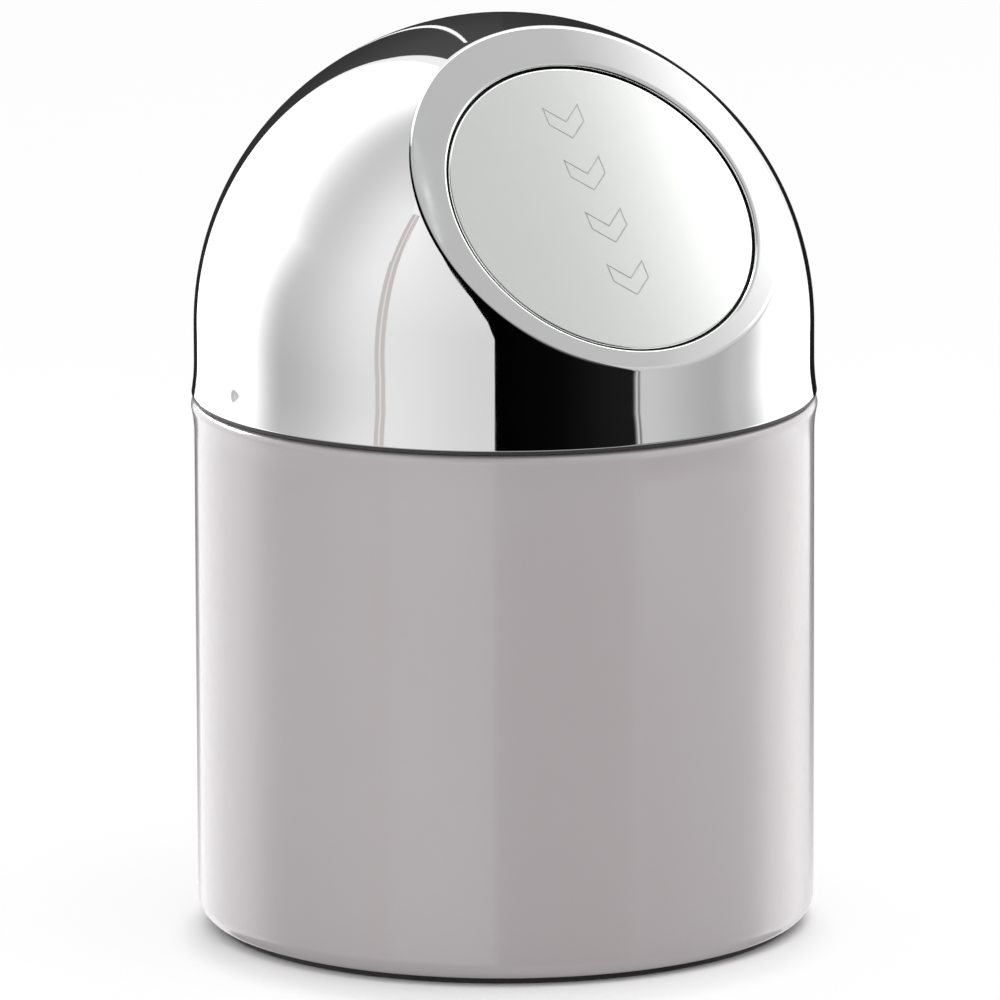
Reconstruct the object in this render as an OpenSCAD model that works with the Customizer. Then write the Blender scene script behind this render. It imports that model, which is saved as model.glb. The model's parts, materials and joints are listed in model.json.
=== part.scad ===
// Small countertop bin with a domed lid and a sprung push flap.
// The bin stands on z = 0, its axis is the z axis, and the flap faces -y.

/* [Bin] */
// Outside diameter of the bin's straight wall
body_d = 118; // [98:1:142]
// Height of the rim above the surface that the bin stands on
rim_h = 102; // [80:1:140]
// Thickness of the bin's sheet steel
body_wall = 0.8; // [0.6:0.1:1]
// Outside radius of the bend from wall to base
base_bend = 4; // [3:0.5:8]
// How far the middle of the base is pressed up
base_rise = 3; // [2:0.5:6]
// Width of the flat ring of base that the foot sits under
base_ring_w = 6; // [4:0.5:10]
// Diameter of the curl rolled inward at the rim
curl_d = 3.2; // [2.6:0.2:4.4]
// How far the wall flares out on its way up to the curl
rim_flare = 0.6; // [0.3:0.1:1.2]
// Radius of that flare, seen in section
flare_bend = 25; // [15:1:40]

/* [Foot ring] */
// Height of the foot ring under the base
foot_h = 1; // [0.8:0.1:2]
// Thickness of the lip that locates the foot in the base
foot_lip_t = 1.2; // [1:0.1:2]

/* [Dome] */
// Height of the straight skirt under the half sphere
skirt_h = 13; // [11:0.5:20]
// Thickness of the dome's sheet steel
dome_wall = 0.8; // [0.6:0.1:1]
// How far the skirt flares out at its edge
skirt_flare = 0.5; // [0.2:0.1:0.8]
// Radius of that flare, seen in section
skirt_flare_bend = 40; // [30:1:60]
// Width of a dimple that holds the collar in the skirt
dimple_w = 4; // [3:0.2:5]
// Depth of a dimple
dimple_depth = 0.8; // [0.5:0.1:1]
// Height of the dimples above the skirt's edge
dimple_h = 4.9; // [4:0.1:6]

/* [Facet] */
// Width of the facet below the flap's opening, where it is narrowest
facet_margin = 3.4; // [3:0.1:6]
// Radius of the bend around the facet
facet_bend = 1.6; // [1.2:0.1:2.4]
// How far the facet's lower edge lies above the skirt, in degrees around the half sphere
facet_rise = 0.7; // [0.4:0.1:8]

/* [Flap] */
// Diameter of the flap's steel face
flap_d = 62; // [46:1:76]
// Gap around the flap's face
flap_gap = 0.5; // [0.4:0.1:1]
// How far the flap's centre lies below the facet's centre, down the slope
flap_drop = 2.4; // [1.5:0.1:3]
// How far the flap's face lies behind the facet
flap_recess = 0.3; // [0.1:0.1:0.6]
// Thickness of the flap's steel face
flap_wall = 0.8; // [0.6:0.1:1]
// Outside radius of the turned edge of the flap and of its opening
edge_bend = 1.2; // [1:0.1:1.6]
// Thickness of the moulded backing's stop flange
flange_t = 1.4; // [1:0.1:2]
// Width of the stop flange outside the flap's face
flange_w = 3.3; // [2.4:0.1:3.6]
// Angle that the flap swings in, in degrees
flap_swing = 65; // [50:1:75]

/* [Hinge] */
// Diameter of the hinge pin
pin_d = 2; // [1.6:0.1:2.4]
// How far the pin lies beyond the opening, up the slope
hinge_set = 5.1; // [4.6:0.1:6]
// Thickness of an ear
ear_t = 2.4; // [2:0.1:3]
// Width of a barrel on the flap
barrel_w = 3.4; // [2.6:0.1:4]
// Wall thickness of a barrel
barrel_wall = 1.2; // [0.9:0.1:1.5]
// Running clearance of the barrels on the pin, on the radius
pin_clearance = 0.05; // [0.02:0.01:0.1]

/* [Spring] */
// Diameter of the spring's wire
wire_d = 0.8; // [0.6:0.1:0.9]
// Gap between neighbouring turns of the spring
coil_gap = 0.5; // [0.45:0.05:0.6]
// Whole turns of the spring
spring_turns = 7; // [4:1:7]
// Length of the leg that presses on the flap
spring_leg = 14; // [8:1:18]
// Room between the spring and the barrel at either end of it
spring_room = 1.6; // [0.6:0.1:3]

/* [Collar and fixings] */
// Depth of the collar's spigot in the bin's mouth
spigot_h = 9; // [6:0.5:14]
// Height of the collar inside the dome's skirt
collar_h = 8; // [7:0.5:9]
// Wall thickness of the collar
collar_wall = 1.8; // [1.4:0.1:2.4]
// Thickness of the collar's flange between dome and rim
collar_flange_t = 0.5; // [0.4:0.1:1]
// Thickness of the moulded frame behind the facet
frame_t = 2.2; // [1.8:0.1:2.4]
// Diameter of the studs that hold the frame
stud_d = 2; // [1.6:0.1:2.2]
// Diameter of the push-on fixings on the studs
fixing_d = 3.4; // [3.2:0.1:3.6]
// How far the buffers stand out of the frame
buffer_proud = 0.4; // [0.2:0.1:0.6]

/* [Clearances] */
// Gap between pieces that move apart
free_gap = 0.3; // [0.2:0.05:0.5]
// Gap between the collar's flange and the rim
seat_gap = 0.25; // [0.2:0.05:0.5]
// Gap between pieces that are assembled with a light fit
fit_gap = 0.1; // [0.05:0.01:0.2]
// Gap between a barrel and the ear beside it
ear_gap = 0.4; // [0.2:0.05:0.8]
// Gap between the spring's turns and the pin inside them
spring_play = 0.35; // [0.3:0.05:0.5]
// Gap between the spigot and the mouth
mouth_gap = 0.5; // [0.4:0.05:0.8]

/* [Hidden] */
$fn = 96;

// Worked-out places are kept to a micrometre, so that faces that meet share one plane
function mm(x) = round(1000 * x) / 1000;
// A bend stands this far out of its corner, so that its arc crosses its neighbours at a small angle
soft_edge = 0.006;

// Bin, worked out from the driving sizes
body_r = mm(body_d / 2);
curl_r = mm(curl_d / 2);
flare_turn = acos(1 - rim_flare / (flare_bend + curl_r));
flare_z = mm(rim_h - curl_r - (flare_bend + curl_r) * sin(flare_turn));
curl_centre = [body_r + rim_flare - curl_r, rim_h - curl_r];
curl_lap = 35;
curl_slit = 30;
mouth_r = curl_centre.x - curl_r;
base_bend_r = body_r - base_bend;
step_r = base_bend_r - base_ring_w;
step_run = mm(base_rise * 0.8);
foot_overhang = 0.6;
foot_lip_gap = 0.8;
foot_chamfer = 0.4;

// Dome, worked out from the driving sizes
dome_r = body_r;
edge_z = rim_h + seat_gap + collar_flange_t;
centre_z = edge_z + skirt_h;
skirt_turn = acos(1 - skirt_flare / skirt_flare_bend);
skirt_flare_h = mm((skirt_flare_bend + dome_wall) * sin(skirt_turn));
dimple_ball = (pow(dimple_w / 2, 2) + pow(dimple_depth, 2)) / (2 * dimple_depth);
dimple_out = dome_r + dimple_ball - dimple_depth;
dimple_z = edge_z + dimple_h;

// Facet frame: origin at the half sphere's centre, z along the facet's normal, y up the slope
flap_r = mm(flap_d / 2);
opening_r = flap_r + flap_gap;
facet_bend_r = opening_r + flap_drop + facet_margin;
facet_bend_z = mm(sqrt(pow(dome_r - facet_bend, 2) - pow(facet_bend_r, 2)));
facet_bend_angle = atan2(facet_bend_r, facet_bend_z);
facet_tilt = mm(facet_bend_angle + facet_rise);
facet_dist = facet_bend_z + facet_bend;
facet_back = facet_dist - dome_wall;

// Frame, opening and flap, in the facet frame
frame_back = facet_back - frame_t;
frame_inset = 0.5;
frame_r = facet_bend_r - frame_inset;
frame_hole_r = opening_r + dome_wall + 2 * fit_gap;
frame_chamfer = 0.7;
flap_face_z = facet_dist - flap_recess;
flange_front = frame_back - buffer_proud - fit_gap;
flange_back = flange_front - flange_t;
flange_r = flap_r + flange_w;
backing_web = 1.6;
rib_t = 1.2;
rib_count = 8;

// Spring on the pin
pin_r = pin_d / 2;
coil_r = pin_r + spring_play + wire_d / 2;
coil_start = 20;
leg_rise = 8;
coil_sweep = 360 * spring_turns + coil_start + 90 + leg_rise;
coil_l = (wire_d + coil_gap) * coil_sweep / 360;
rings_per_turn = 8;
wire_sides = 6;

// Hinge, in the facet frame
barrel_r = pin_r + barrel_wall;
ear_over_barrel = 0.4;
ear_r = barrel_r + ear_over_barrel;
hinge_up = opening_r - flap_drop + hinge_set;
pin_z = frame_back - barrel_r - 2 * free_gap;
anchor_depth = 1.2;
anchor_end_gap = 0.4;
anchor_rise = frame_back + anchor_depth - anchor_end_gap - pin_z;
anchor_leg = mm((anchor_rise - coil_r * sin(coil_start)) / cos(coil_start));
barrel_inner = mm(coil_l / 2 + wire_d / 2 + spring_room);
barrel_outer = barrel_inner + barrel_w;
ear_inner = barrel_outer + ear_gap;
ear_outer = ear_inner + ear_t;
pin_head_t = 0.8;
pin_head_r = 1.7 * pin_r;
clip_t = 0.5;
clip_r = 1.9 * pin_r;
groove_r = 0.75 * pin_r;
clip_x = ear_outer + free_gap;
pin_tip = 0.8;
pin_end = clip_x + clip_t + pin_tip;

// Stop lug on each barrel: its corner comes up to the frame's back at the full swing
lug_l = barrel_r + 1;
lug_t = 1.2;
lug_reach = norm([lug_l, lug_t / 2]);
lug_angle = asin((frame_back - free_gap - pin_z) / lug_reach) - atan2(lug_t / 2, lug_l) - flap_swing;

// Studs and buffers, in the facet frame
stud_r = stud_d / 2;
fixing_inset = 0.2;
stud_ring_r = frame_r - fixing_d / 2 - fixing_inset;
stud_angles = [-55, -30, 30, 55];
stud_proud = 1.6;
stud_end = frame_back - stud_proud;
fixing_h = 0.9;
buffer_inset = 0.1;
buffer_d = frame_r - flap_drop - frame_hole_r - 2 * buffer_inset;
buffer_ring_r = frame_hole_r + buffer_d / 2 + buffer_inset;
buffer_angles = [-115, 115, 180];
buffer_seat = 0.8;

// Collar
spigot_r = mouth_r - mouth_gap;
collar_r = dome_r - dome_wall - fit_gap;
collar_flange_inset = 0.2;
collar_flange_r = body_r + rim_flare - collar_flange_inset;
collar_web_t = 1.8;
collar_rib_count = 12;
collar_rib_proud = 0.2;
collar_rib_w = 1.5;
lead_in = 0.8;

// Colours of the finishes
lacquer = "#b3adad";
polished = "#dcdddf";
satin = "#c9cdc9";
zinc = "#b8b9bb";
dark_plastic = "#3a3a3c";
pale_plastic = "#c8c9ca";
rubber = "#232324";

// Fan of straight-edged triangles between two angles, which run clockwise from straight up
module sector(reach, from, to) {
    steps = ceil((to - from) / 30);
    rays = [for (i = [0:steps]) from + (to - from) * i / steps];
    polygon(concat([[0, 0]], [for (a = rays) reach * [sin(a), cos(a)]]));
}

// Bent sheet in section, between two angles
module bend_section(centre, r_in, r_out, from, to) {
    translate(centre)
        intersection() {
            difference() {
                circle(r_out);
                circle(r_in);
            }
            sector(1.5 * r_out, from, to);
        }
}

// Upright or flat strip of sheet in section, between two corners
module strip(low, high) {
    translate(low) square(high - low);
}

// Places its children in the facet frame
module in_facet() {
    translate([0, 0, centre_z]) rotate([90 - facet_tilt, 0, 0]) children();
}

// Places its children on the flap's own axis, in the facet frame
module on_flap_axis() {
    translate([0, -flap_drop, 0]) children();
}

// Turns a section drawn in the facet frame's y and z into a plate between two x values
module side_plate(x0, x1) {
    translate([x0, 0, 0]) rotate([90, 0, 90]) linear_extrude(x1 - x0) children();
}

// Cylinder along x, centred on the hinge axis
module on_hinge(x0, x1, r) {
    translate([x0, hinge_up, pin_z]) rotate([0, 90, 0]) cylinder(h = x1 - x0, r = r);
}

// Bin: drawn bucket with a pressed-up base and a flared, curled rim
module bin_section() {
    shift = body_wall * (norm([step_run, base_rise]) - step_run) / base_rise;
    rise_z = foot_h + base_rise;
    curl_place = curl_centre + soft_edge * [cos(flare_turn), -sin(flare_turn)];
    slit_from = 90 + flare_turn + curl_lap;
    polygon([
        [0, rise_z], [step_r - step_run, rise_z], [step_r, foot_h], [base_bend_r, foot_h],
        [base_bend_r, foot_h + body_wall], [step_r + shift, foot_h + body_wall],
        [step_r - step_run + shift, rise_z + body_wall], [0, rise_z + body_wall]
    ]);
    bend_section([base_bend_r, foot_h + base_bend], base_bend - body_wall, base_bend, 90, 180);
    strip([body_r - body_wall, foot_h + base_bend], [body_r, flare_z]);
    difference() {
        union() {
            bend_section(
                [body_r + flare_bend, flare_z], flare_bend, flare_bend + body_wall, 270, 270 + flare_turn
            );
            translate(curl_place)
                difference() {
                    circle(curl_r);
                    sector(2 * curl_r, slit_from, slit_from + curl_slit);
                }
        }
        translate(curl_place) circle(curl_r - body_wall);
    }
}

module bin_body() {
    color(lacquer) rotate_extrude() bin_section();
}

// Foot: soft ring under the base, with a lip that locates in the pressed-up middle
module foot_ring() {
    lip_h = base_rise - foot_lip_gap;
    lip_foot = step_r - 2 * fit_gap;
    lip_top = lip_foot - lip_h * step_run / base_rise;
    foot_r = base_bend_r + foot_overhang;
    color(rubber) rotate_extrude() polygon([
        [lip_top - foot_lip_t, foot_chamfer], [lip_top - foot_lip_t + foot_chamfer, 0],
        [foot_r - foot_chamfer, 0], [foot_r, foot_chamfer], [foot_r, foot_h],
        [lip_foot, foot_h], [lip_top, foot_h + lip_h], [lip_top - foot_lip_t, foot_h + lip_h]
    ]);
}

// What the facet takes away, in section about its normal: all above it, and the corner outside its bend
module facet_cut_section(inset) {
    reach = 1.2 * dome_r;
    bend_centre = [facet_bend_r, facet_bend_z];
    out = facet_bend_angle / 2;
    strip([0, facet_dist - inset], [reach, reach]);
    difference() {
        translate(bend_centre) sector(2 * facet_bend, 0, facet_bend_angle);
        translate(bend_centre + soft_edge * [sin(out), cos(out)]) circle(facet_bend - inset);
    }
}

// Solid half sphere on a skirt with the facet cut off, drawn in by an inset
module dome_solid(inset, skirt_end) {
    difference() {
        translate([0, 0, centre_z])
            rotate_extrude() {
                intersection() {
                    circle(dome_r - inset);
                    square(2 * dome_r);
                }
                strip([0, skirt_end], [dome_r - inset, 0]);
            }
        in_facet() rotate_extrude() facet_cut_section(inset);
    }
}

// Lip turned in around the flap's opening, before the opening is cut
module lip_section() {
    lip_r = opening_r + dome_wall;
    lip_chamfer = 0.5;
    polygon([
        [opening_r - 0.5, frame_back], [lip_r, frame_back],
        [lip_r, facet_back - lip_chamfer], [lip_r + lip_chamfer, facet_back],
        [lip_r + lip_chamfer, facet_back + dome_wall / 2], [opening_r - 0.5, facet_back + dome_wall / 2]
    ]);
}

// The flap's opening in section, with a rounded edge
module opening_section() {
    strip([0, frame_back - 1], [opening_r, facet_dist + 1]);
    difference() {
        strip([opening_r - 0.5, facet_dist - edge_bend], [opening_r + edge_bend, facet_dist + 1]);
        translate([opening_r + edge_bend - soft_edge, facet_dist - edge_bend + soft_edge])
            circle(edge_bend);
    }
}

// A ball at each dimple, one on either side of the dome
module dimple_balls(r) {
    for (side = [-1, 1])
        translate([side * dimple_out, 0, dimple_z]) sphere(r);
}

// Dome: shell of one thickness with the facet, the lipped opening, the flared edge and two dimples
module dome() {
    flare_top = skirt_flare_h - skirt_h;
    color(polished)
        difference() {
            union() {
                difference() {
                    dome_solid(0, flare_top);
                    dome_solid(dome_wall, flare_top - 1);
                }
                translate([0, 0, centre_z]) rotate_extrude() bend_section(
                    [dome_r + skirt_flare_bend, flare_top],
                    skirt_flare_bend, skirt_flare_bend + dome_wall, 270 - skirt_turn, 270
                );
                in_facet() on_flap_axis() rotate_extrude() lip_section();
                intersection() {
                    dimple_balls(dimple_ball + dome_wall);
                    translate([0, 0, edge_z + 1]) cylinder(h = skirt_h, r = dome_r - dome_wall / 2);
                }
            }
            in_facet() on_flap_axis() rotate_extrude() opening_section();
            dimple_balls(dimple_ball);
        }
}

// Collar: moulded ring held in the skirt by the dimples, with a ribbed spigot for the bin's mouth
module collar() {
    seat_z = rim_h + seat_gap;
    spigot_z = seat_z - spigot_h;
    color(dark_plastic)
        difference() {
            union() {
                rotate_extrude() polygon([
                    [spigot_r - collar_wall, spigot_z], [spigot_r - lead_in, spigot_z],
                    [spigot_r, spigot_z + 2 * lead_in], [spigot_r, seat_z],
                    [collar_flange_r, seat_z], [collar_flange_r, edge_z],
                    [collar_r, edge_z], [collar_r, edge_z + collar_h - lead_in],
                    [collar_r - lead_in, edge_z + collar_h], [collar_r - collar_wall, edge_z + collar_h],
                    [collar_r - collar_wall, seat_z + collar_web_t],
                    [spigot_r - collar_wall, seat_z + collar_web_t]
                ]);
                for (i = [0:collar_rib_count - 1])
                    rotate([0, 0, (i + 0.5) * 360 / collar_rib_count])
                        translate([spigot_r - 1, -collar_rib_w / 2, spigot_z + 3 * lead_in])
                            cube([1 + collar_rib_proud, collar_rib_w, spigot_h - 3 * lead_in]);
            }
            dimple_balls(dimple_ball + dome_wall + fit_gap);
        }
}

// Ear that carries the hinge pin, seen from the side
module ear_section() {
    root_from = hinge_up - 3.2;
    root_to = hinge_up + 0.2;
    top_slope = 20;
    under_slope = 11.5;
    difference() {
        union() {
            translate([hinge_up, pin_z]) circle(ear_r);
            polygon([
                [root_from, frame_back + frame_t / 2], [root_to, frame_back + frame_t / 2],
                [root_to, frame_back], [hinge_up + ear_r * cos(top_slope), pin_z + ear_r * sin(top_slope)],
                [hinge_up, pin_z], [hinge_up - ear_r * cos(under_slope), pin_z - ear_r * sin(under_slope)]
            ]);
        }
        translate([hinge_up, pin_z]) circle(pin_r + pin_clearance / 2);
    }
}

// Frame: moulded ring behind the facet, deeper at the top where it carries the hinge
module flap_frame() {
    anchor_y = hinge_up + coil_r * cos(coil_start) - anchor_leg * sin(coil_start);
    color(pale_plastic)
        in_facet() {
            difference() {
                translate([0, 0, frame_back]) cylinder(h = frame_t, r = frame_r);
                on_flap_axis() {
                    translate([0, 0, frame_back - 1]) cylinder(h = frame_t + 2, r = frame_hole_r);
                    translate([0, 0, facet_back - frame_chamfer])
                        cylinder(
                            h = 2 * frame_chamfer, r1 = frame_hole_r, r2 = frame_hole_r + 2 * frame_chamfer
                        );
                }
                for (a = stud_angles)
                    rotate([0, 0, -a]) translate([0, stud_ring_r, frame_back - 1])
                        cylinder(h = frame_t + 2, r = stud_r + fit_gap);
                on_flap_axis()
                    for (a = buffer_angles)
                        rotate([0, 0, -a]) translate([0, buffer_ring_r, frame_back - 1])
                            cylinder(h = 1 + buffer_seat, r = buffer_d / 2);
                translate([-coil_l / 2 - wire_d, anchor_y - wire_d, frame_back - 1])
                    cube([2 * wire_d, 2.4 * wire_d, 1 + anchor_depth]);
            }
            side_plate(ear_inner, ear_outer) ear_section();
            side_plate(-ear_outer, -ear_inner) ear_section();
        }
}

// Studs welded to the back of the facet
module frame_studs() {
    color(zinc)
        in_facet()
            for (a = stud_angles)
                rotate([0, 0, -a]) translate([0, stud_ring_r, stud_end])
                    rotate_extrude() polygon([
                        [0, 0], [stud_r - 0.2, 0], [stud_r, 0.3],
                        [stud_r, facet_back - stud_end], [0, facet_back - stud_end]
                    ]);
}

// Push-on fixings: domed washers whose slit centre grips the stud
module push_fixings() {
    grip_r = stud_r + 0.02;
    sheet = 0.3;
    slit_w = 0.25;
    slit_l = 2 * stud_r + 0.5;
    color(zinc)
        in_facet()
            for (a = stud_angles)
                rotate([0, 0, -a]) translate([0, stud_ring_r, frame_back])
                    difference() {
                        rotate_extrude() polygon([
                            [fixing_d / 2, 0], [fixing_d / 2, -sheet], [fixing_d / 2 - 0.3, -sheet],
                            [grip_r, -fixing_h], [grip_r, sheet - fixing_h], [fixing_d / 2 - 0.3, 0]
                        ]);
                        for (turn = [0, 90])
                            rotate([0, 0, turn])
                                cube([slit_l, slit_w, 4 * fixing_h], center = true);
                    }
}

// Pin with a head at one end and a groove for its clip at the other
module hinge_pin() {
    color(zinc)
        in_facet()
            difference() {
                union() {
                    on_hinge(-ear_outer - free_gap, pin_end, pin_r);
                    on_hinge(-ear_outer - free_gap - pin_head_t, -ear_outer - free_gap, pin_head_r);
                }
                difference() {
                    on_hinge(clip_x - 0.05, clip_x + clip_t + 0.05, 2 * pin_r);
                    on_hinge(clip_x - 0.1, clip_x + clip_t + 0.1, groove_r);
                }
            }
}

module pin_clip() {
    color(zinc)
        in_facet()
            difference() {
                on_hinge(clip_x, clip_x + clip_t, clip_r);
                on_hinge(clip_x - 1, clip_x + clip_t + 1, groove_r + 0.02);
                translate([clip_x - 1, hinge_up - groove_r * 0.8, pin_z - 2 * clip_r])
                    cube([clip_t + 2, groove_r * 1.6, 2 * clip_r]);
            }
}

// Middle line of the spring's wire, from its anchored end to the end on the flap
function coil_point(turned) =
    let (a = coil_start - turned)
    [-coil_l / 2 + coil_l * turned / coil_sweep, coil_r * cos(a), coil_r * sin(a)];
function spring_path() =
    let (
        coil_steps = ceil(coil_sweep / 360 * rings_per_turn),
        coil = [for (i = [0:coil_steps]) coil_point(coil_sweep * i / coil_steps)],
        first = coil[0],
        last = coil[coil_steps],
        out = [0, -sin(coil_start), cos(coil_start)],
        anchored = [for (s = [anchor_leg, anchor_leg / 2]) first + s * out],
        pressed = [for (i = [1:3]) last + spring_leg * i / 3 * [0, -cos(leg_rise), sin(leg_rise)]]
    )
    concat(anchored, coil, pressed);
function unit(v) = v / norm(v);

// Tube of flat sides along a path that never runs along x
module wire(path, d, sides) {
    last = len(path) - 1;
    rings = [
        for (i = [0:last])
            let (
                along = unit(path[min(i + 1, last)] - path[max(i - 1, 0)]),
                side = unit([1, 0, 0] - along.x * along),
                up = cross(along, side)
            )
            for (k = [0:sides - 1])
                path[i] + d / 2 * (cos(360 * k / sides) * side + sin(360 * k / sides) * up)
    ];
    skin = [
        for (i = [0:last - 1])
            for (k = [0:sides - 1])
                let (
                    a = i * sides + k,
                    b = i * sides + (k + 1) % sides
                )
                each [[a, a + sides, b], [b, a + sides, b + sides]]
    ];
    near_end = [for (k = [1:sides - 2]) [0, k, k + 1]];
    far = last * sides;
    far_end = [for (k = [1:sides - 2]) [far, far + k + 1, far + k]];
    polyhedron(rings, concat(skin, near_end, far_end));
}

// Smallest distance between wire surfaces on different turns
function spring_gap(path) =
    min([
        for (i = [0:len(path) - 1])
            for (j = [i + 5:1:len(path) - 1])
                norm(path[i] - path[j])
    ]) - wire_d;

module return_spring() {
    echo(spring_self_gap = spring_gap(spring_path()));
    color(zinc)
        in_facet() translate([0, hinge_up, pin_z]) wire(spring_path(), wire_d, wire_sides);
}

// Rubber buffers in the frame's back
module closing_buffers() {
    chamfer = 0.2;
    color(rubber)
        in_facet() on_flap_axis()
            for (a = buffer_angles)
                rotate([0, 0, -a]) translate([0, buffer_ring_r, frame_back - buffer_proud])
                    rotate_extrude() polygon([
                        [0, 0], [buffer_d / 2 - chamfer, 0], [buffer_d / 2, chamfer],
                        [buffer_d / 2, buffer_proud + buffer_seat], [0, buffer_proud + buffer_seat]
                    ]);
}

// Steel face of the flap with its edge turned in
module flap_face() {
    color(satin)
        in_facet() on_flap_axis()
            rotate_extrude() {
                strip([0, flap_face_z - flap_wall], [flap_r - edge_bend, flap_face_z]);
                bend_section(
                    [flap_r - edge_bend, flap_face_z - edge_bend], edge_bend - flap_wall, edge_bend, 0, 90
                );
                strip([flap_r - flap_wall, flange_front + fit_gap], [flap_r, flap_face_z - edge_bend]);
            }
}

// Arm, barrel and stop lug of the flap, seen from the side
module barrel_section() {
    flange_edge = sqrt(pow(flange_r, 2) - pow(barrel_inner, 2)) - flap_drop;
    arm_from = flange_edge - 8;
    arm_bend = flange_edge - 1;
    arm_front = flange_front - 0.2;
    arm_back = pin_z - barrel_r + 0.3;
    difference() {
        union() {
            translate([hinge_up, pin_z]) circle(barrel_r);
            translate([hinge_up, pin_z]) rotate(lug_angle) strip([0, -lug_t / 2], [lug_l, lug_t / 2]);
            polygon([
                [hinge_up, arm_front], [arm_bend, arm_front], [arm_from, arm_front],
                [arm_from, flange_back - 0.2], [arm_bend, arm_back], [hinge_up, arm_back]
            ]);
        }
        translate([hinge_up, pin_z]) circle(pin_r + pin_clearance);
    }
}

// Backing: moulded disc inside the face, with a stop flange, ribs and the hinge barrels
module flap_backing() {
    boss_r = flap_r - flap_wall - free_gap;
    boss_front = flap_face_z - flap_wall;
    boss_chamfer = 0.6;
    boss_wall = 2;
    pocket_r = boss_r - boss_wall;
    hub_r = 5;
    web_back = boss_front - backing_web / 2;
    color(dark_plastic)
        in_facet() {
            on_flap_axis() {
                difference() {
                    union() {
                        translate([0, 0, flange_back]) cylinder(h = flange_t, r = flange_r);
                        translate([0, 0, flange_back])
                            cylinder(h = boss_front - boss_chamfer - flange_back, r = boss_r);
                        translate([0, 0, boss_front - boss_chamfer])
                            cylinder(h = boss_chamfer, r1 = boss_r, r2 = boss_r - boss_chamfer);
                    }
                    translate([0, 0, flange_back - 1])
                        cylinder(h = boss_front - backing_web - flange_back + 1, r = pocket_r);
                }
                for (i = [0:rib_count / 2 - 1])
                    rotate([0, 0, i * 360 / rib_count])
                        translate([-pocket_r - 0.5, -rib_t / 2, flange_back])
                            cube([2 * pocket_r + 1, rib_t, web_back - flange_back]);
                translate([0, 0, flange_back]) cylinder(h = web_back - flange_back, r = hub_r);
            }
            side_plate(barrel_inner, barrel_outer) barrel_section();
            side_plate(-barrel_outer, -barrel_inner) barrel_section();
        }
}

bin_body();
foot_ring();
dome();
collar();
flap_frame();
frame_studs();
push_fixings();
hinge_pin();
pin_clip();
return_spring();
closing_buffers();
flap_face();
flap_backing();
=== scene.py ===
# %% [markdown]
# # A small push-top bin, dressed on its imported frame
# The frame brings every piece at its real size and in its real place. This lesson gives each one its
# finish, and rebuilds the four that need a finer surface than the frame carries: the lacquered bin, the
# polished dome, the satin flap and the spring that winds up behind it. All lengths are metres.

# %% Load the frame
import json
import math
import bmesh
import bpy
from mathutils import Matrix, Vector
from mathutils.geometry import delaunay_2d_cdt


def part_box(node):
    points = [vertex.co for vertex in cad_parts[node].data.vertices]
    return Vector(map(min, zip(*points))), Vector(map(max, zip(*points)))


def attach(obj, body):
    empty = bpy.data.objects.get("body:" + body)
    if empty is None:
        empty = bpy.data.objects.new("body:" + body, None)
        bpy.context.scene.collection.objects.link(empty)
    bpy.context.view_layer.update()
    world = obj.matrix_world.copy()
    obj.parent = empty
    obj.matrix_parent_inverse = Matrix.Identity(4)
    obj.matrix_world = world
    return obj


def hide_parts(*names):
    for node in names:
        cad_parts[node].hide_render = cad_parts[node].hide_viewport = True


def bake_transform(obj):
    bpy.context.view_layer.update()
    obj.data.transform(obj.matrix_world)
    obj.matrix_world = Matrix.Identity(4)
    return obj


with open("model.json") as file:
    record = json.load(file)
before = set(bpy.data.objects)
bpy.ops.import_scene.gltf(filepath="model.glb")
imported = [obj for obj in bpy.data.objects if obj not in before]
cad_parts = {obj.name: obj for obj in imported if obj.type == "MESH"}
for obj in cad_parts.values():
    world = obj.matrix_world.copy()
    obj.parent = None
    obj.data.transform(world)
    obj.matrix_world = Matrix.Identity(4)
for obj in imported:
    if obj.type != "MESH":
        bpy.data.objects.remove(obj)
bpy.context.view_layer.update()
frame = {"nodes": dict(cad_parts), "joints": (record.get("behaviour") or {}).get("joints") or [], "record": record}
MM = 0.001

# %% [markdown]
# ## The camera
# The photograph was taken from far away with a long lens, a little to the left of the flap and slightly
# above it. A camera that looks at one named point from an angle and a distance says this more plainly than
# a matrix would. Its angles are kept as values, because the reflections are laid out around the same
# direction later.

# %% Camera
CAMERA_TURN = math.radians(-31.25)
CAMERA_RISE = math.radians(11.93)
CAMERA_ROLL = math.radians(-0.195)
CAMERA_DISTANCE = 2.5666
LOOK_AT = Vector((-0.74, 0.45, 81.19)) * MM
LENS_IN_MM = 484.7
SENSOR_IN_MM = 36.0
SEES_UNTIL = 20.0
camera_data = bpy.data.cameras.new("camera")
camera_data.lens = LENS_IN_MM
camera_data.sensor_width = SENSOR_IN_MM
camera_data.clip_end = SEES_UNTIL
camera = bpy.data.objects.new("camera", camera_data)
bpy.context.scene.collection.objects.link(camera)
level = math.cos(CAMERA_RISE)
towards_camera = Vector((
    math.sin(CAMERA_TURN) * level, -math.cos(CAMERA_TURN) * level, math.sin(CAMERA_RISE)))
camera.location = LOOK_AT + CAMERA_DISTANCE * towards_camera
camera.rotation_euler = (-towards_camera).to_track_quat("-Z", "Y").to_euler()
camera.rotation_euler.rotate_axis("Z", CAMERA_ROLL)
bpy.context.scene.camera = camera
print("camera at", [round(c, 3) for c in camera.location])

# %% [markdown]
# ## Building sheet metal from rows of points
# Pressed and drawn parts are surfaces that run smoothly from one ring to the next. So each is made as a
# list of rows, every row with the same number of points, and neighbouring rows are joined with four-sided
# faces. A subdivision surface would be shorter to write, but it pulls a true cylinder or sphere off its
# radius, and a mirror finish shows that at once.

# %% Helpers for rows of points
SHARP_ANGLE = math.radians(32)
WELD_DISTANCE = MM / 1000


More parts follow.
